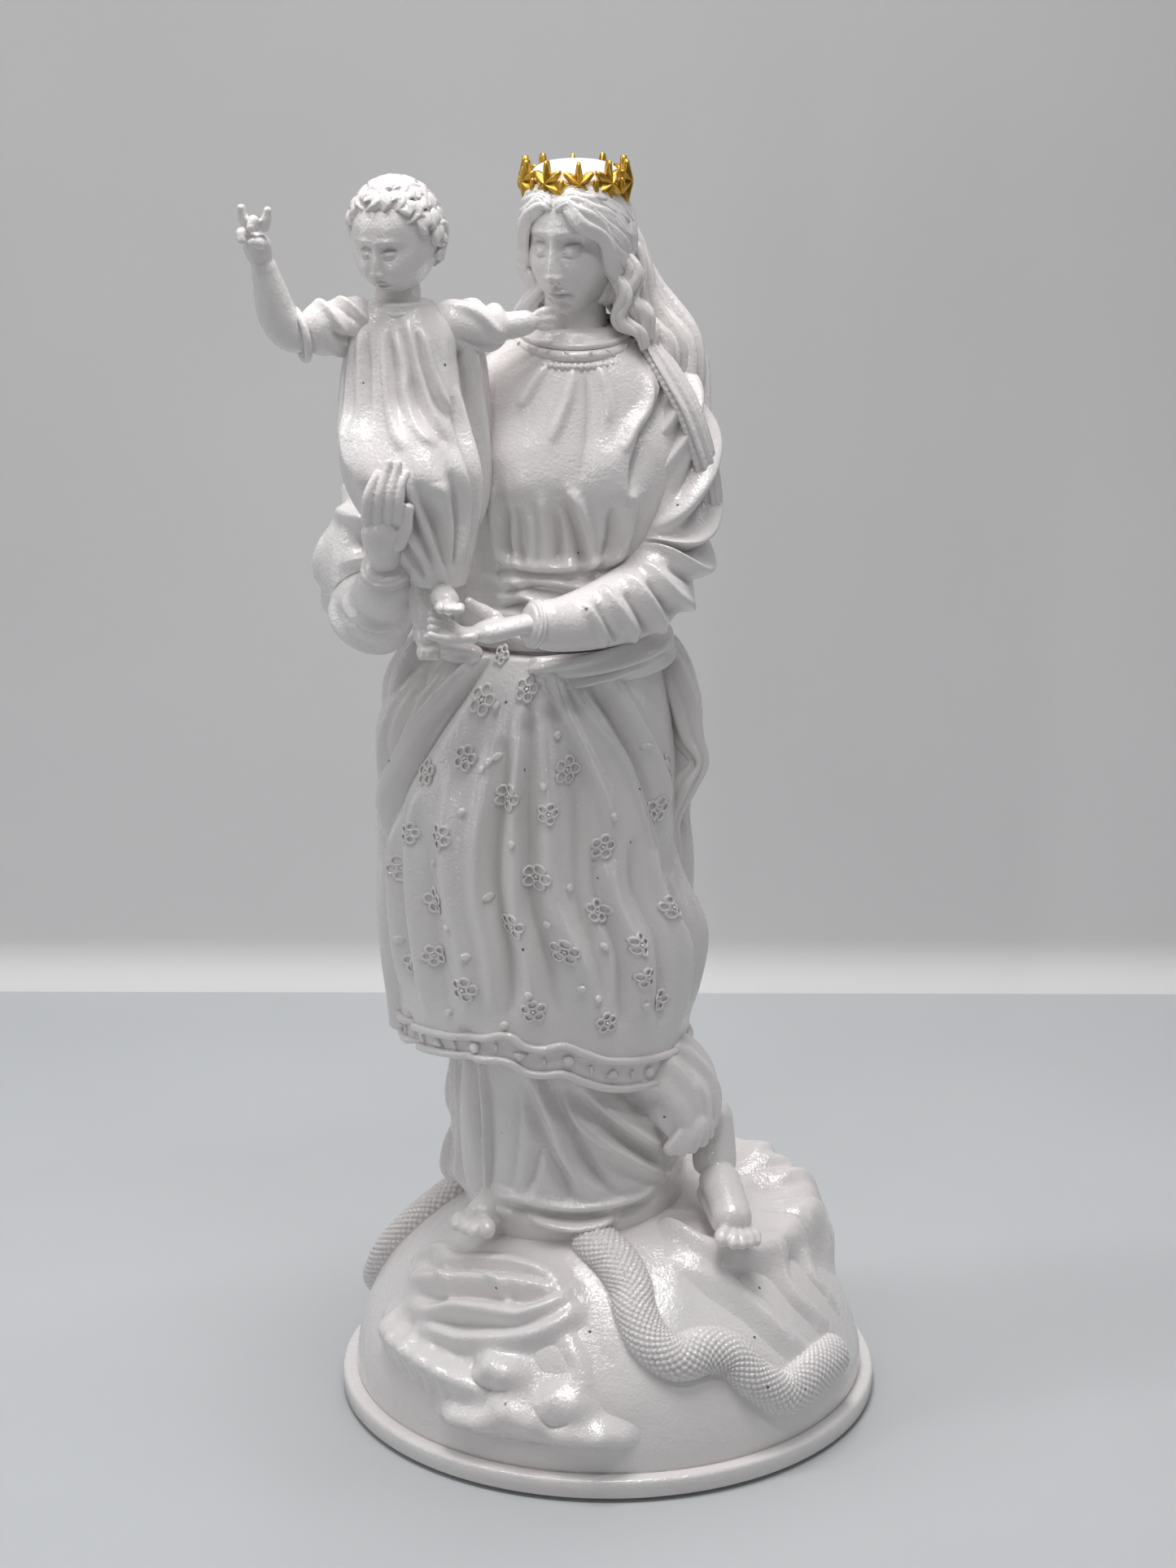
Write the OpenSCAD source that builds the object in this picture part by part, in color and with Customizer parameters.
// Standing Madonna with child: a cast devotional statue built from glued castings.
// Millimetres, +Z up, origin at the middle of the felt's underside, the figure faces -Y.

/* [Overall size] */
// Diameter of the round plinth
base_d = 130; // [110:1:160]
// Height of the figure above the top of the globe
figure_h = 241; // [200:1:290]

/* [Base] */
// Thickness of the felt under the plinth
felt_t = 1; // [0.5:0.1:2]
// How far the felt stays inside the plinth's edge
felt_inset = 2; // [1:0.5:6]
// Height of the plinth disc
plinth_h = 4.5; // [3:0.5:10]
// Bevel round the plinth's top edge
plinth_bevel = 0.7; // [0.2:0.1:1.5]
// Width of the plinth's ledge outside the globe
ledge_w = 3.5; // [2:0.5:8]
// Height of the globe above the plinth
globe_h = 49.5; // [40:0.5:60]

/* [Serpent and clouds] */
// Radius of the serpent's body
serpent_r = 4.3; // [3:0.1:5.5]
// Radius of a leaf scroll
scroll_r = 4.4; // [3:0.1:5.5]

/* [Crown] */
// Radius of the turned seat on the hair
seat_r = 10.4; // [9.5:0.1:11]
// Gap between the seat and the crown's bore
crown_clear = 0.3; // [0.2:0.05:0.5]
// Thickness of the crown's band
band_t = 1.2; // [0.9:0.1:1.5]
// Height of the crown's band
band_h = 1.8; // [1.2:0.1:3]
// Number of stars round the crown
star_count = 10; // [8:1:10]
// Half the height of a star
star_r = 5.3; // [4:0.1:5.6]
// Half the width of a star
star_w = 3.5; // [2.5:0.1:3.7]
// Thickness of a star
star_t = 1.3; // [0.8:0.1:2]

/* [Pins] */
// Radius of the pin that stands the figure on the globe
stand_pin_r = 4; // [3:0.5:6]
// Radius of the smaller assembly pins
small_pin_r = 2; // [1.5:0.5:2.5]
// Gap round every pin
pin_clear = 0.1; // [0.05:0.05:0.2]
// Depth of the stand pin in the globe
stand_pin_depth = 30; // [15:1:38]

/* [Assembly] */
// Glue gap between two castings
glue_gap = 0.1; // [0.05:0.05:0.2]
// Gap between the hair and the head under it
hair_gap = 0.6; // [0.5:0.1:1]

/* [Hidden] */

cast_white = [0.93, 0.92, 0.91];
gold_paint = [0.78, 0.55, 0.12];
pin_steel = [0.62, 0.63, 0.65];
felt_grey = [0.22, 0.22, 0.23];

limb_fine = 10;
tip_fine = 7;
tip_r = 2.7;
egg_fine = 14;
bead_fine = 6;
bead_r = 2.6;
turned = 96;
cut_fine = 40;

base_r = base_d / 2;
globe_r = base_r - ledge_w;
plinth_top = felt_t + plinth_h;
globe_top = plinth_top + globe_h;

// The figure is drawn 241 high with its feet's level at 55, then set on the globe.
drawn_foot_z = 55;
drawn_h = 241;
fig_scale = figure_h / drawn_h;
function fz(z) = globe_top + (z - drawn_foot_z) * fig_scale;
module figure() {
    translate([0, 0, globe_top])
        scale(fig_scale)
            translate([0, 0, -drawn_foot_z])
                children();
}

// A point on the globe at an azimuth and a share of its radius, lifted by h.
function on_globe(az, share, h) = [
    globe_r * share * cos(az),
    globe_r * share * sin(az),
    plinth_top + globe_h * sqrt(1 - share * share) + h
];

// A ball [x, y, z, r], an egg with three radii, and a limb through a row of balls.
module ball(b, grow = 0) {
    translate([b[0], b[1], b[2]])
        sphere(r = b[3] + grow, $fn = (b[3] < tip_r) ? tip_fine : limb_fine);
}
module egg(at, r, grow = 0) {
    translate(at)
        scale([r[0] + grow, r[1] + grow, r[2] + grow])
            sphere(r = 1, $fn = (r[0] < bead_r) ? bead_fine : egg_fine);
}
module limb(balls, grow = 0) {
    for (i = [0 : len(balls) - 2])
        hull() {
            ball(balls[i], grow);
            ball(balls[i + 1], grow);
        }
}

// Draped cloth: rings [z, cx, cy, rx, ry, fold depth, twist], joined into one closed skin.
ring_sides = 36;
function ring(s, folds, grow) = [
    for (i = [0 : ring_sides - 1])
        let (
            a = 360 * i / ring_sides,
            k = 1 + s[5] * sin(folds * a + s[6]) + s[5] * 0.5 * sin(2 * folds * a - s[6])
        )
        [s[1] + (s[3] + grow) * k * cos(a), s[2] + (s[4] + grow) * k * sin(a), s[0]]
];
module draped(sections, folds, grow = 0) {
    n = ring_sides;
    last = len(sections) - 1;
    points = [for (s = sections) each ring(s, folds, grow)];
    walls = [
        for (j = [0 : last - 1])
            for (i = [0 : n - 1])
                let (a = j * n + i, b = j * n + (i + 1) % n)
                each [[a, a + n, b + n], [a, b + n, b]]
    ];
    bottom = [for (i = [0 : n - 1]) i];
    top = [for (i = [n - 1 : -1 : 0]) last * n + i];
    polyhedron(points = points, faces = concat(walls, [bottom, top]));
}

// A faceted cutter a little larger than the true globe, so that castings stand on its skin.
module globe_cutter(gap = glue_gap) {
    swell = 1 / pow(cos(180 / cut_fine), 2);
    translate([0, 0, plinth_top])
        scale([(globe_r + gap) * swell, (globe_r + gap) * swell, (globe_h + gap) * swell])
            sphere(r = 1, $fn = cut_fine);
    below = 200;
    translate([0, 0, plinth_top + gap - below / 2])
        cube([3 * base_r, 3 * base_r, below], center = true);
}
// A socket for a pin in a casting whose skin is faceted.
module socket(r, z0, z1, at) {
    translate([at[0], at[1], z0])
        cylinder(r = (r + pin_clear) / cos(180 / cut_fine), h = z1 - z0, $fn = cut_fine);
}

// ---- Base ----
module felt_pad() {
    color(felt_grey)
        cylinder(r = base_r - felt_inset, h = felt_t, $fn = turned);
}

module plinth_disc() {
    color(cast_white)
        rotate_extrude($fn = turned)
            polygon([
                [0, felt_t],
                [base_r, felt_t],
                [base_r, plinth_top - plinth_bevel],
                [base_r - plinth_bevel, plinth_top],
                [0, plinth_top]
            ]);
}

// The stand pin's axis, under the middle of the skirt.
stand_at = [-9, -2];
stand_pin_z0 = fz(drawn_foot_z - 5) - stand_pin_depth;
stand_pin_z1 = fz(104);
globe_arc_steps = 28;
module globe_dome() {
    color(cast_white)
        difference() {
            rotate_extrude($fn = turned)
                polygon([
                    [0, plinth_top],
                    for (i = [0 : globe_arc_steps])
                        let (a = 90 * i / globe_arc_steps)
                        [globe_r * cos(a), plinth_top + globe_h * sin(a)]
                ]);
            translate([stand_at[0], stand_at[1], stand_pin_z0])
                cylinder(r = stand_pin_r + pin_clear, h = globe_top, $fn = turned);
        }
}

// ---- What lies on the globe ----
// Leaf and cloud scrolls on the front left: rows of [azimuth, share of radius, radius share].
scrolls = [
    [[-165, 0.68, 0.7], [-145, 0.72, 1], [-127, 0.66, 1], [-112, 0.56, 0.6]],
    [[-148, 0.84, 0.8], [-130, 0.80, 1.1], [-114, 0.72, 1], [-101, 0.66, 0.5]],
    [[-150, 0.95, 0.8], [-138, 0.95, 1.2], [-126, 0.92, 1.3], [-115, 0.90, 1.1]],
    [[-127, 0.97, 0.8], [-114, 0.97, 1.1], [-101, 0.92, 1], [-94, 0.85, 0.7]],
    [[-145, 0.72, 1], [-130, 0.80, 1.1], [-126, 0.92, 1.3]],
    [[-100, 0.79, 0.6], [-101, 0.92, 1], [-96, 0.97, 0.8]]
];
module scrolls_shape(grow = 0) {
    for (row = scrolls)
        limb([for (p = row) concat(on_globe(p[0], p[1], 0.3), [scroll_r * p[2]])], grow);
}
module leaf_scrolls() {
    color(cast_white)
        difference() {
            scrolls_shape();
            globe_cutter();
            figure() right_foot_shape(glue_gap);
        }
}

// The cloud bank under the figure's left foot and behind it.
cloud_lumps = [
    [-60, 0.55, 8], [-42, 0.66, 9], [-25, 0.70, 9], [-8, 0.72, 8.5], [12, 0.72, 9],
    [32, 0.66, 9], [55, 0.55, 8]
];
module cloud_shape(grow = 0) {
    limb([for (c = cloud_lumps) concat(on_globe(c[0], c[1], -0.5), [c[2]])], grow);
    limb([for (c = cloud_lumps) concat(on_globe(c[0], c[1] - 0.2, -1), [c[2]])], grow);
}
module cloud_bank() {
    color(cast_white)
        difference() {
            cloud_shape();
            globe_cutter();
            figure() left_foot_shape(glue_gap);
            figure() under_robe_shape(glue_gap);
            serpent_front_shape(glue_gap);
        }
}

// The serpent's two visible stretches: [azimuth, share of radius].
serpent_front_path = [
    [-101, 0.46], [-88, 0.55], [-82, 0.65], [-82, 0.75], [-80, 0.83], [-74, 0.87],
    [-65, 0.865], [-58, 0.885], [-54.5, 0.945], [-48, 0.97], [-38, 0.965], [-28, 0.96],
    [-17, 0.965], [-6, 0.975], [5, 0.98]
];
serpent_rear_path = [
    [150, 0.60], [165, 0.66], [170, 0.80], [168, 0.90], [165, 0.97], [150, 0.975],
    [133, 0.95], [118, 0.955], [104, 0.975], [90, 0.98]
];
function along_globe(path, r) = [for (p = path) concat(on_globe(p[0], p[1], 0.8), [r])];
module serpent_front_shape(grow = 0) {
    limb(along_globe(serpent_front_path, serpent_r), grow);
}
module serpent_rear_shape(grow = 0) {
    limb(along_globe(serpent_rear_path, serpent_r), grow);
}
module serpent_front() {
    color(cast_white)
        difference() {
            serpent_front_shape();
            globe_cutter();
            scrolls_shape(glue_gap);
            figure() under_robe_shape(glue_gap);
        }
}
module serpent_rear() {
    color(cast_white)
        difference() {
            serpent_rear_shape();
            globe_cutter();
            scrolls_shape(glue_gap);
            figure() under_robe_shape(glue_gap);
        }
}

// ---- Feet, robe and mantle, in the figure's drawn millimetres ----
module stand_pin() {
    color(pin_steel)
        translate([stand_at[0], stand_at[1], stand_pin_z0])
            cylinder(r = stand_pin_r, h = stand_pin_z1 - stand_pin_z0, $fn = turned);
}

left_toes = [[27, -37.5], [29.2, -38], [31.2, -37.6], [33, -36.6], [34.6, -35]];
module left_foot_shape(grow = 0) {
    limb([[25.5, -9, 76, 5.6], [26, -10, 67, 5.2], [25, -12, 57, 6.2]], grow);
    limb([[26, -12, 63, 5.4], [29, -27, 54.5, 5.2], [30, -33, 52, 4.4]], grow);
    limb([[25, -12, 57, 6.2], [29, -27, 54.5, 5.2]], grow);
    for (t = left_toes)
        limb([[t[0], t[1] + 6, 52.2, 2.2], [t[0] + 0.4, t[1], 50.6, 1.5]], grow);
}
module left_foot() {
    color(cast_white)
        difference() {
            figure() left_foot_shape();
            figure() under_robe_shape(glue_gap);
            globe_cutter();
        }
}

right_toes = [[-33.8, -33.5], [-31.6, -35.2], [-29.4, -35.8], [-27.2, -35]];
module right_foot_shape(grow = 0) {
    limb([[-24, -12, 60, 5], [-28, -22, 56, 5.2], [-30.2, -29, 53.4, 4.6]], grow);
    limb([[-24, -12, 60, 5], [-26, -24, 52, 5], [-30, -30, 50, 4.2]], grow);
    for (t = right_toes)
        limb([[t[0] + 0.5, t[1] + 6, 52.6, 2], [t[0], t[1], 51, 1.4]], grow);
}
module right_foot() {
    color(cast_white)
        difference() {
            figure() right_foot_shape();
            figure() under_robe_shape(glue_gap);
            globe_cutter();
        }
}

under_robe_rings = [
    [46, -8, -3, 25, 25, 0.05, 0],
    [55, -8, -3, 26, 25.5, 0.06, 10],
    [66, -8, -3, 25.5, 24.5, 0.06, 25],
    [78, -8, -3, 26, 24.5, 0.05, 45],
    [91, -9, -3, 27, 24.5, 0.03, 60]
];
module under_robe_shape(grow = 0) {
    draped(under_robe_rings, 7, grow);
    limb([[19, -10, 84, 7], [21, -13, 77, 6], [15, -21, 66, 4.5], [10, -26, 57, 4]], grow);
    limb([[-32, 6, 88, 5], [-34, 5, 76, 4.5], [-33.5, 5, 66, 5], [-35, 4, 54, 5.5]], grow);
    limb([[-27, -20, 88, 3.4], [-26.5, -23, 74, 3.4], [-26, -24, 60, 3.4]], grow);
}
module under_robe() {
    color(cast_white)
        difference() {
            figure() under_robe_shape();
            figure() mantle_floor();
            globe_cutter();
            socket(stand_pin_r, stand_pin_z0, stand_pin_z1, stand_at);
        }
}
// Everything above this level belongs to the mantle.
hem_z = 91;
module mantle_floor() {
    translate([-100, -100, hem_z])
        cube([200, 200, 30]);
}

mantle_rings = [
    [hem_z, -15, -3.5, 33, 29.5, 0.035, 0],
    [104, -15.5, -3.5, 34, 30, 0.035, 8],
    [118, -15.2, -3.5, 35, 30, 0.035, 16],
    [134, -18, -3.5, 32.5, 28.5, 0.035, 30],
    [150, -17.5, -3, 32, 27, 0.035, 44],
    [165, -16, -2.5, 30, 25, 0.03, 60],
    [178, -15, -2, 27, 22.5, 0.025, 70],
    [186, -13.5, -1.5, 24, 20, 0.015, 80]
];
module mantle_shape(grow = 0) {
    draped(mantle_rings, 9, grow);
}
// The mantle's front edge, a rolled border that sweeps from the waist to the left hip.
module mantle_border(grow = 0) {
    limb([[-24, -21, 184, 2.4], [-33, -20, 176, 2.6], [-40, -17, 165, 2.8],
        [-46, -12, 152, 2.8], [-49, -6, 138, 2.6]], grow);
    limb([[-12, -24, 184, 2.4], [-2, -24, 172, 2.8], [7, -21, 158, 3], [13, -15, 144, 3],
        [17, -9, 130, 2.6]], grow);
}
module mantle_skirt() {
    color(cast_white)
        difference() {
            figure() {
                mantle_shape();
                mantle_border();
            }
            socket(stand_pin_r, stand_pin_z0, stand_pin_z1 + glue_gap, stand_at);
            socket(small_pin_r, waist_pin_z0 - glue_gap, waist_pin_z1, waist_at);
        }
}

// The braid round the hem: a band with two cords, and small bosses between them.
braid_bosses = 14;
braid_boss_r = 1.4;
braid_z = 93;
braid_w = 9;
braid_cord = 2.2;
braid_web = 1;
function braid_ring(up, out) = [
    braid_z + up, -15.2, -3.5, 33.4 + out, 29.7 + out, 0.035, 3
];
braid_rings = [
    braid_ring(0, 0.4),
    braid_ring(braid_w * 0.1, braid_cord),
    braid_ring(braid_w * 0.3, braid_web),
    braid_ring(braid_w * 0.7, braid_web),
    braid_ring(braid_w * 0.9, braid_cord),
    braid_ring(braid_w, 0.4)
];
module braid_shape(grow = 0) {
    draped(braid_rings, 9, grow);
    for (i = [0 : braid_bosses - 1])
        let (
            a = 360 * i / braid_bosses,
            k = 1 + 0.035 * sin(9 * a),
            x = -15.2 + (33.4 + braid_web) * k * cos(a),
            y = -3.5 + (29.7 + braid_web) * k * sin(a)
        )
        hull() {
            ball([x, y, braid_z + braid_w * 0.42, braid_boss_r], grow);
            ball([x, y, braid_z + braid_w * 0.58, braid_boss_r], grow);
        }
}
module hem_braid() {
    color(cast_white)
        difference() {
            figure() braid_shape();
            figure() mantle_shape(glue_gap);
            figure() mantle_drape_shape(glue_gap);
        }
}

// The mantle's tail: a cloth that hangs round the back from a roll at the waist.
tail_rings = [
    [104, -15.5, -3, 37.5, 34.5, 0.045, 20],
    [125, -15.5, -3, 38, 34, 0.045, 40],
    [150, -16.5, -3, 36, 31.5, 0.045, 60],
    [172, -15.5, -2.5, 32.5, 27, 0.04, 80],
    [188, -13.5, -1.5, 25, 21, 0.02, 90],
    [192, -13, -1, 22, 18, 0, 90]
];
tail_front_y = -8;
waist_roll_steps = 10;
module tail_front() {
    translate([-100, -100, 80])
        cube([200, 100 + tail_front_y, 130]);
}
module mantle_drape_shape(grow = 0) {
    difference() {
        draped(tail_rings, 8, grow);
        tail_front();
    }
    limb([
        for (i = [0 : waist_roll_steps])
            let (a = -30 + 240 * i / waist_roll_steps)
            [-13 + 24.5 * cos(a), -1.5 + 20 * sin(a), 187 + 2 * cos(a), 3.2]
    ], grow);
    limb([[-42, 2, 182, 5], [-46, 4, 174, 6], [-44, 4, 160, 4]], grow);
    limb([[11, 2, 180, 4], [14, 0, 168, 4.5], [17.5, -3, 157, 4.6], [14, -3, 146, 3.4]], grow);
}
module mantle_drape() {
    color(cast_white)
        difference() {
            figure() mantle_drape_shape();
            figure() mantle_shape(glue_gap);
            figure() mantle_border(glue_gap);
            figure() bodice_shape(glue_gap);
            figure() sash_shape(glue_gap);
            figure() right_sleeve_shape(glue_gap);
        }
}

// ---- Bodice ----
waist_at = [-12, 0];
waist_pin_z0 = fz(172);
waist_pin_z1 = fz(204);
module waist_pin() {
    color(pin_steel)
        translate([waist_at[0], waist_at[1], waist_pin_z0])
            cylinder(r = small_pin_r, h = waist_pin_z1 - waist_pin_z0, $fn = turned);
}

bodice_floor = 186;
bodice_rings = [
    [bodice_floor, -13, -0.5, 21.5, 17, 0.02, 0],
    [198, -11.5, -0.5, 20, 16, 0.03, 10],
    [212, -9.5, -1, 22.5, 17, 0.03, 20],
    [226, -8.5, -1, 24.5, 18.5, 0.02, 30],
    [240, -7.5, 0, 24, 16.5, 0.015, 40],
    [250, -7.5, 0.5, 21, 13.5, 0, 50],
    [256, -7.5, 0.5, 14, 10.5, 0, 50],
    [260, -7.5, 0, 9, 8, 0, 50]
];
module bodice_shape(grow = 0) {
    draped(bodice_rings, 8, grow);
}
module bodice() {
    color(cast_white)
        difference() {
            figure() bodice_shape();
            figure() mantle_top_cut();
            socket(small_pin_r, waist_pin_z0, waist_pin_z1 + glue_gap, waist_at);
            socket(small_pin_r, neck_pin_z0 - glue_gap, neck_pin_z1, neck_at);
            child_pin_socket();
            figure() head_shape(glue_gap);
        }
}
module mantle_top_cut() {
    translate([-100, -100, bodice_floor - 20])
        cube([200, 200, 20 + glue_gap]);
}

// The sash: a soft band of two swollen turns round the waist.
sash_rings = [
    [191, -11.8, -0.5, 20.6, 16.8, 0.03, 4],
    [194.5, -11.6, -0.5, 23.6, 19.4, 0.03, 8],
    [198, -11.5, -0.5, 21.4, 17.4, 0.03, 10],
    [201, -11.2, -0.5, 22.6, 18.6, 0.03, 12],
    [204, -10.8, -0.6, 20.4, 16.4, 0.03, 14]
];
sash_pleats = 8;
module sash_shape(grow = 0) {
    draped(sash_rings, 8, grow);
    for (i = [0 : sash_pleats - 1])
        let (x = -26 + 3.8 * i)
        hull() {
            ball([x, -17.6 + 0.02 * (x + 12) * (x + 12), 194, 2], grow);
            ball([x + 3.6, -16.8 + 0.02 * (x + 8) * (x + 8), 196.4, 1.6], grow);
        }
}
module waist_sash() {
    color(cast_white)
        difference() {
            figure() sash_shape();
            figure() bodice_shape(glue_gap);
        }
}

collar_steps = 20;
module collar_shape(grow = 0) {
    limb([
        for (i = [0 : collar_steps])
            let (a = 360 * i / collar_steps)
            [-7.6 + 12 * cos(a), -0.5 + 10.4 * sin(a), 256.8 + 2 * sin(a), 1.7]
    ], grow);
}
module collar_band() {
    color(cast_white)
        difference() {
            figure() collar_shape();
            figure() bodice_shape(glue_gap);
            figure() locks_shape(glue_gap);
            figure() child_left_arm_shape(glue_gap);
        }
}

// ---- Mother's arms ----
module left_sleeve_shape(grow = 0) {
    limb([[12, 0, 245, 8], [14, -1, 236, 9], [14, -3, 222, 9.2], [11.5, -6, 206, 9.6],
        [8, -14, 201, 8.8], [0, -23, 199, 8], [-10, -31, 198, 6.4], [-18, -35.5, 199, 5.2]], grow);
    limb([[6, -13, 234, 2.4], [10, -14, 222, 3], [12, -16, 210, 3]], grow);
    limb([[14, -8, 228, 3], [18, -12, 214, 3.4]], grow);
}
module left_sleeve() {
    color(cast_white)
        difference() {
            figure() left_sleeve_shape();
            figure() bodice_shape(glue_gap);
            figure() sash_shape(glue_gap);
            figure() mantle_shape(glue_gap);
            figure() mantle_drape_shape(glue_gap);
        }
}

module right_sleeve_shape(grow = 0) {
    limb([[-25, 3, 243, 7.5], [-34, 4, 236, 8.5], [-45, 1, 223, 9.5], [-55, -4, 208, 10.4],
        [-52.5, -10, 199, 9.4], [-50, -20, 200, 8.4], [-49, -29, 205, 6.6],
        [-48.6, -34, 209, 5.4]], grow);
    limb([[-60, -9, 214, 4], [-60, -13, 204, 4], [-54, -18, 196, 4]], grow);
}
module right_sleeve() {
    color(cast_white)
        difference() {
            figure() right_sleeve_shape();
            figure() bodice_shape(glue_gap);
            figure() sash_shape(glue_gap);
            figure() mantle_shape(glue_gap);
            figure() child_robe_shape(glue_gap);
        }
}

// The left hand lies palm up under the child's foot.
left_hand_fingers = [[-38.5, -46, 198.6], [-40, -43.5, 199.8], [-39.6, -41, 201], [-38, -38.6, 202]];
module left_hand_shape(grow = 0) {
    limb([[-18, -35.5, 199, 3.6], [-25, -39, 197.6, 3.6], [-30, -40.5, 197.4, 3.4]], grow);
    for (f = left_hand_fingers)
        limb([[-29, (f[1] + 41) * 0.5 - 41, 197.2, 1.7], [f[0] + 4, f[1], f[2] - 1.2, 1.5],
            [f[0], f[1], f[2], 1.2]], grow);
    limb([[-24, -37, 199.6, 2.2], [-29, -36, 202, 1.7], [-32, -36, 204.6, 1.3]], grow);
}
module left_hand() {
    color(cast_white)
        difference() {
            figure() left_hand_shape();
            figure() left_sleeve_shape(glue_gap);
        }
}

// The right hand holds the child's thigh with its fingers upright.
right_hand_fingers = [[-52.4, 0], [-50, 1], [-47.6, 1], [-45.2, 0]];
module right_hand_shape(grow = 0) {
    limb([[-48.6, -35, 210, 3.8], [-49, -40.5, 217, 4], [-49.4, -43.5, 223, 3.6]], grow);
    for (f = right_hand_fingers)
        limb([[f[0] + 0.6, -43.6, 224, 1.9], [f[0] + 1.4, -44.8, 231, 1.5],
            [f[0] + 3.2, -43.4, 235 + 1.6 * f[1], 1.2]], grow);
    limb([[-46, -41, 218, 2.4], [-43.6, -43.6, 223, 1.8], [-42.6, -44, 227.6, 1.3]], grow);
}
module right_hand() {
    color(cast_white)
        difference() {
            figure() right_hand_shape();
            figure() right_sleeve_shape(glue_gap);
            figure() child_robe_shape(glue_gap);
        }
}

// ---- Mother's head, hair and crown ----
neck_at = [-7.5, 0.5];
neck_pin_z0 = fz(243);
neck_pin_z1 = fz(270);
module neck_pin() {
    color(pin_steel)
        translate([neck_at[0], neck_at[1], neck_pin_z0])
            cylinder(r = small_pin_r, h = neck_pin_z1 - neck_pin_z0, $fn = turned);
}

head_at = [-8, -2, 280];
face_turn = -24;
hair_floor = 283;
module head_shape(grow = 0) {
    limb([[-7.5, 0.5, 254, 6.4], [-7.6, 0, 262, 5.8], [-8, -1, 270, 6]], grow);
    translate([head_at[0], head_at[1], 0])
        rotate([0, 0, face_turn]) {
            egg([0, 0.5, 281], [9.2, 11, 10.5], grow);
            hull() {
                egg([0, -3, 277], [7.6, 7.6, 8], grow);
                egg([0, -5.6, 268.4], [3.4, 3.6, 3], grow);
                egg([0, -1, 272], [6.4, 7.5, 5.5], grow);
            }
            hull() {
                egg([0, -10, 279.5], [1, 1.2, 1], grow);
                egg([0, -12.4, 274.4], [1.4, 1.3, 0.9], grow);
            }
            for (side = [-1, 1])
                hull() {
                    egg([side * 2, -8.4, 280.6], [1.6, 1.6, 1], grow);
                    egg([side * 5.4, -7, 280.4], [1.6, 1.6, 1], grow);
                }
            hull() {
                egg([-1.4, -9.2, 270.6], [1.2, 1.2, 0.9], grow);
                egg([1.4, -9.2, 270.6], [1.2, 1.2, 0.9], grow);
            }
        }
}
module above_hair_floor(gap = 0) {
    translate([-50, -50, hair_floor - gap])
        cube([100, 100, 40]);
}
module mother_head() {
    color(cast_white)
        difference() {
            figure() head_shape();
            figure() above_hair_floor(glue_gap);
            socket(small_pin_r, neck_pin_z0, neck_pin_z1 + glue_gap, neck_at);
        }
}

// The crown stands on a turned seat, with a shoulder under its band.
crown_at = [-7.6, 0];
crown_z = fz(291.2);
seat_z = crown_z - band_h / 2;
shoulder_w = crown_clear + 0.3;
hair_full_r = 11.9;
hair_top_z = fz(296.4);
crown_bore_r = seat_r + crown_clear;
crown_outer_r = crown_bore_r + band_t;
cap_arc_steps = 14;
module hair_cap() {
    rise = hair_top_z - seat_z - band_h;
    color(cast_white)
        translate([crown_at[0], crown_at[1], 0])
            rotate_extrude($fn = turned)
                polygon([
                    [0, fz(hair_floor)],
                    [hair_full_r, fz(hair_floor)],
                    [seat_r + shoulder_w, crown_z - star_r - crown_clear],
                    [seat_r + shoulder_w, seat_z],
                    [seat_r, seat_z],
                    for (i = [0 : cap_arc_steps])
                        let (a = 90 * i / cap_arc_steps)
                        [seat_r * cos(a), seat_z + band_h + rise * sin(a)]
                ]);
}

// Hair below the cap: side rolls, the back of the head and long locks on the left shoulder.
lock_rows = [
    [[-17.5, 2, 279, 3.4], [-17.5, 3, 271, 3], [-16, 5, 263, 2.6]],
    [[3, -3, 280, 3], [3.6, -2, 273, 3.2], [5, -2, 266, 3], [9, 0, 259, 3]],
    [[2.5, 4, 279, 4], [5, 4, 272, 4], [9, 5, 265, 3.8], [14, 6, 257, 3.8]],
    [[1, 9, 278, 4], [5, 10, 270, 4.4], [11, 10, 261, 4.4], [17, 8, 251, 4.4], [20, 5, 240, 3.8],
        [21, 1, 230, 2.8]],
    [[-6, 12, 278, 4], [-4, 14, 268, 4.6], [1, 15, 257, 5], [8, 15, 246, 4.8], [14, 13, 236, 4.4]],
    [[-13, 10, 278, 4], [-13, 13, 267, 4.6], [-12, 15, 256, 5], [-10, 16, 244, 4.6]],
    [[-6, 12, 278, 4], [-13, 10, 278, 4], [-17.5, 2, 279, 3.4]],
    [[-6, 12, 278, 4], [1, 9, 278, 4], [3, -3, 280, 3]]
];
module locks_shape(grow = 0) {
    for (row = lock_rows)
        limb(row, grow);
}
module hair_locks() {
    color(cast_white)
        difference() {
            figure() locks_shape();
            figure() above_hair_floor(glue_gap);
            figure() head_shape(hair_gap);
            figure() bodice_shape(glue_gap);
            figure() left_sleeve_shape(glue_gap);
        }
}

module star_outline() {
    waist = 0.45;
    polygon([
        for (i = [0 : 11])
            let (k = (i % 2 == 0) ? 1 : waist, a = 30 * i)
            [star_w * k * cos(a), star_r * k * sin(a) / cos(30)]
    ]);
}
module crown() {
    star_sink = band_t / 2;
    color(gold_paint)
        translate([crown_at[0], crown_at[1], 0]) {
            translate([0, 0, seat_z])
                difference() {
                    cylinder(r = crown_outer_r, h = band_h, $fn = turned);
                    translate([0, 0, -1])
                        cylinder(r = crown_bore_r, h = band_h + 2, $fn = turned);
                }
            for (i = [0 : star_count - 1])
                rotate([0, 0, 360 * i / star_count - 86])
                    translate([crown_outer_r - star_sink, 0, crown_z])
                        rotate([90, 0, 90])
                            linear_extrude(star_t)
                                star_outline();
        }
}

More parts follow.
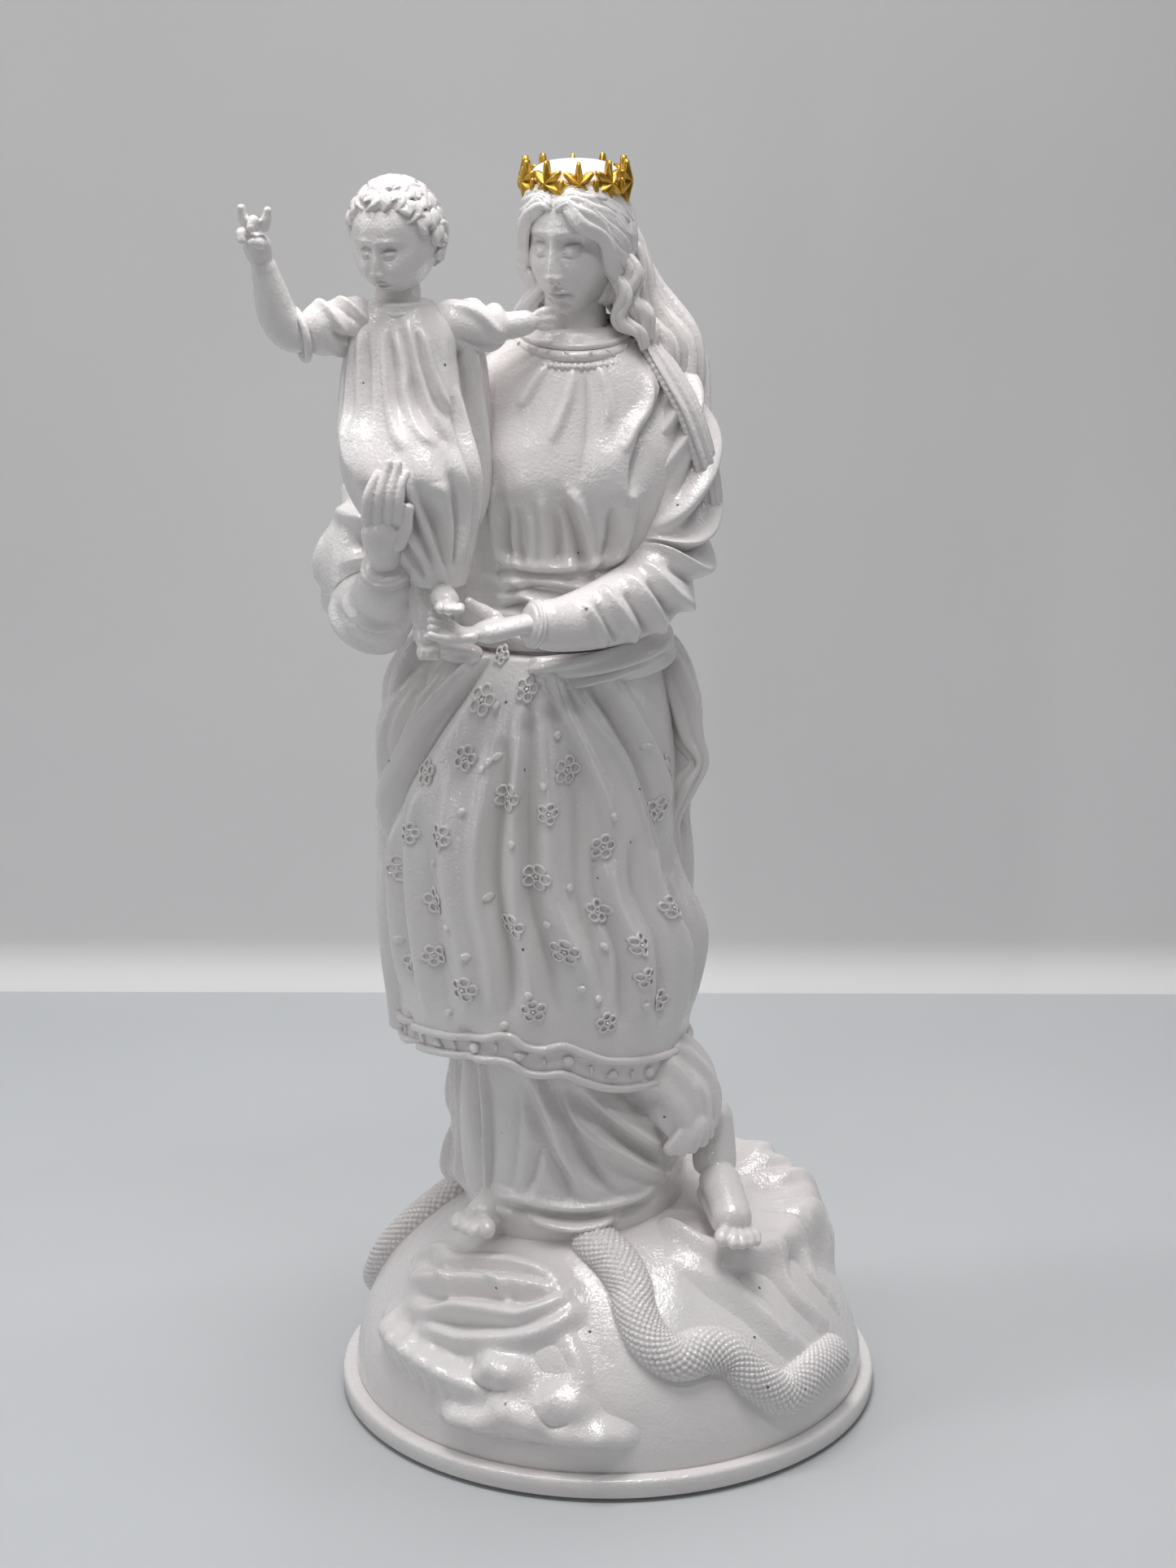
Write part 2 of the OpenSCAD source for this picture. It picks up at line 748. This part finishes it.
// ---- The child ----
child_rings = [
    [207, -37.5, -33, 6.5, 6.5, 0.03, 0],
    [214, -39.5, -31, 10, 9.5, 0.04, 20],
    [223, -42, -28.5, 12.5, 12.5, 0.05, 40],
    [233, -44, -28, 13, 14, 0.05, 60],
    [243, -45, -24, 13, 12, 0.05, 80],
    [254, -45.5, -21.5, 12.4, 10.5, 0.04, 100],
    [263, -45.8, -20.5, 11, 9, 0.02, 120],
    [269, -46, -20.5, 6, 6, 0, 120]
];
module child_robe_shape(grow = 0) {
    draped(child_rings, 7, grow);
    limb([[-53.5, -21, 262.5, 5.6], [-49, -21, 264, 5]], grow);
    limb([[-38.5, -19, 262.5, 5.4], [-43, -20, 264, 5]], grow);
    limb([[-47, -31, 237, 8], [-47, -35, 231, 6.4], [-43, -36, 218, 5]], grow);
    limb([[-40, -30, 236, 7.6], [-37, -34, 227, 6], [-36, -35, 214, 4.6]], grow);
    limb([[-33, -26, 226, 4], [-30.5, -28, 219, 3.4]], grow);
    limb([[-35, -15, 252, 5], [-32, -13, 238, 6.4], [-31.5, -15, 224, 6]], grow);
}
child_pin_at = [-29, -12, 238];
child_pin_len = 16;
module child_pin_place() {
    translate([child_pin_at[0], child_pin_at[1], fz(child_pin_at[2])])
        rotate([0, 0, 38])
            rotate([0, 90, 0])
                children();
}
module child_pin() {
    color(pin_steel)
        child_pin_place()
            cylinder(r = small_pin_r, h = child_pin_len, center = true, $fn = turned);
}
module child_pin_socket() {
    child_pin_place()
        cylinder(r = (small_pin_r + pin_clear) / cos(180 / cut_fine),
            h = child_pin_len + 2 * glue_gap, center = true, $fn = cut_fine);
}
module child_robe() {
    color(cast_white)
        difference() {
            figure() child_robe_shape();
            figure() bodice_shape(glue_gap);
            figure() sash_shape(glue_gap);
            figure() left_sleeve_shape(glue_gap);
            figure() child_head_shape(glue_gap);
            child_pin_socket();
        }
}

module child_right_leg_shape(grow = 0) {
    limb([[-37, -35, 213, 3.4], [-36.6, -37.5, 206.4, 3.4], [-35, -42, 204.8, 3],
        [-34, -45, 204.4, 2.4]], grow);
    for (t = [-36.2, -34.6, -33, -31.6])
        limb([[t, -44, 204.6, 1.3], [t, -46.6, 203.8, 1]], grow);
}
module child_left_leg_shape(grow = 0) {
    limb([[-41.6, -32, 214, 3.2], [-41.4, -33, 206, 3], [-40.6, -35, 198.6, 2.7],
        [-39.6, -37.4, 194.6, 2.3]], grow);
    for (t = [-41.2, -40, -38.8, -37.6])
        limb([[t + 0.2, -37.4, 194.4, 1.2], [t + 0.4, -39.2, 191.8, 0.9]], grow);
    egg([-41.6, -31.4, 199.6], [2.2, 2.4, 2.4], grow);
}
module child_right_leg() {
    color(cast_white)
        difference() {
            figure() child_right_leg_shape();
            figure() left_hand_shape(glue_gap);
            figure() child_robe_shape(glue_gap);
            figure() left_sleeve_shape(glue_gap);
            figure() bodice_shape(glue_gap);
        }
}
module child_left_leg() {
    color(cast_white)
        difference() {
            figure() child_left_leg_shape();
            figure() left_hand_shape(glue_gap);
            figure() child_right_leg_shape(glue_gap);
            figure() child_robe_shape(glue_gap);
            figure() bodice_shape(glue_gap);
            figure() right_sleeve_shape(glue_gap);
        }
}

child_head_at = [-46.4, -21.5, 281];
child_face_turn = -22;
curl_rows = 2;
curls_per_row = 7;
module child_head_shape(grow = 0) {
    limb([[-46, -20.5, 263, 5.2], [-46.3, -21, 271, 5.4]], grow);
    translate([child_head_at[0], child_head_at[1], 0])
        rotate([0, 0, child_face_turn]) {
            egg([0, 1, 283], [9.6, 11, 11], grow);
            hull() {
                egg([0, -3.5, 277.4], [8, 7.2, 7], grow);
                egg([0, -5.6, 271.6], [4.4, 4.2, 3], grow);
            }
            hull() {
                egg([0, -10, 278.6], [0.9, 1, 0.8], grow);
                egg([0, -11.2, 275.8], [1.2, 1.2, 0.8], grow);
            }
            hull() {
                egg([-1.2, -9.6, 272.8], [0.8, 0.8, 0.5], grow);
                egg([1.2, -9.6, 272.8], [0.8, 0.8, 0.5], grow);
            }
            for (side = [-1, 1])
                hull() {
                    egg([side * 9.2, 1, 279.4], [1.2, 1.8, 2.4], grow);
                    egg([side * 8.6, 1.6, 277], [1, 1.2, 1.2], grow);
                }
            for (j = [0 : curl_rows - 1])
                for (i = [0 : curls_per_row - 1])
                    let (a = -35 + 250 * i / (curls_per_row - 1), e = 14 + 34 * j)
                    hull() {
                        egg([9 * cos(e) * cos(a), 1.5 + 10.4 * cos(e) * sin(a),
                            283 + 10 * sin(e)], [2, 2, 1.8], grow);
                        egg([9 * cos(e + 14) * cos(a + 14), 1.5 + 10.4 * cos(e + 14) * sin(a + 14),
                            283 + 10.2 * sin(e + 14)], [1.4, 1.4, 1.3], grow);
                    }
        }
}
module child_head() {
    color(cast_white)
        figure() union() child_head_shape();
}

module child_right_sleeve_shape(grow = 0) {
    limb([[-52, -20.5, 262.5, 5.6], [-58, -22, 262.4, 5.8], [-64, -24, 261.4, 5.8],
        [-67, -25, 261, 5.6]], grow);
    limb([[-56, -24, 266, 2], [-62, -26, 265.4, 2.2], [-67, -27, 264.6, 1.8]], grow);
    limb([[-56, -25, 258.6, 2], [-62, -26.6, 257, 2.2], [-67, -27, 256.6, 1.8]], grow);
    limb([[-66, -28, 264, 1.6], [-68, -29, 260, 1.6], [-67, -27, 256.4, 1.6]], grow);
}
module child_right_sleeve() {
    color(cast_white)
        difference() {
            figure() child_right_sleeve_shape();
            figure() child_robe_shape(glue_gap);
            figure() forearm_shape(glue_gap);
        }
}

module forearm_shape(grow = 0) {
    limb([[-66, -24.6, 261, 4.2], [-70, -26.4, 262, 4.3], [-72.4, -28.4, 268, 4],
        [-74.6, -31, 277, 2.9], [-75.6, -33, 282, 3.4]], grow);
    limb([[-76.8, -34, 284, 1.7], [-78.4, -36, 289, 1.2]], grow);
    limb([[-75, -34.4, 284.6, 1.7], [-75.4, -37.4, 287, 1.4], [-76, -38, 284.6, 1.2]], grow);
    limb([[-73.6, -33.6, 284, 1.6], [-72.4, -35, 288.4, 1.2]], grow);
    limb([[-77.8, -33.4, 282, 1.6], [-78.8, -36.4, 282.6, 1.3], [-77.6, -37, 280.8, 1.1]], grow);
}
module child_right_forearm() {
    color(cast_white)
        figure() union() forearm_shape();
}

module child_left_arm_shape(grow = 0) {
    limb([[-40, -18.6, 262.5, 4.6], [-34, -17, 262, 5], [-29, -15, 261.6, 4.8],
        [-25, -13.4, 261.4, 3.6], [-20, -12, 261.6, 2.8], [-15.6, -10.6, 262, 2.6]], grow);
    for (f = [[-12.4, -10.4, 264], [-12, -10.6, 262.2], [-12.4, -10.6, 260.4]])
        limb([[-16, -10.6, 262, 1.6], [f[0], f[1], f[2], 1.1]], grow);
}
module child_left_arm() {
    color(cast_white)
        difference() {
            figure() child_left_arm_shape();
            figure() child_robe_shape(glue_gap);
            figure() bodice_shape(glue_gap);
            figure() head_shape(glue_gap);
            figure() locks_shape(glue_gap);
            figure() right_sleeve_shape(glue_gap);
        }
}

felt_pad();
plinth_disc();
globe_dome();
leaf_scrolls();
cloud_bank();
serpent_front();
serpent_rear();
stand_pin();
left_foot();
right_foot();
under_robe();
mantle_skirt();
hem_braid();
mantle_drape();
waist_pin();
bodice();
waist_sash();
collar_band();
left_sleeve();
right_sleeve();
left_hand();
right_hand();
neck_pin();
mother_head();
hair_cap();
hair_locks();
crown();
child_robe();
child_pin();
child_left_leg();
child_right_leg();
child_head();
child_right_sleeve();
child_right_forearm();
child_left_arm();
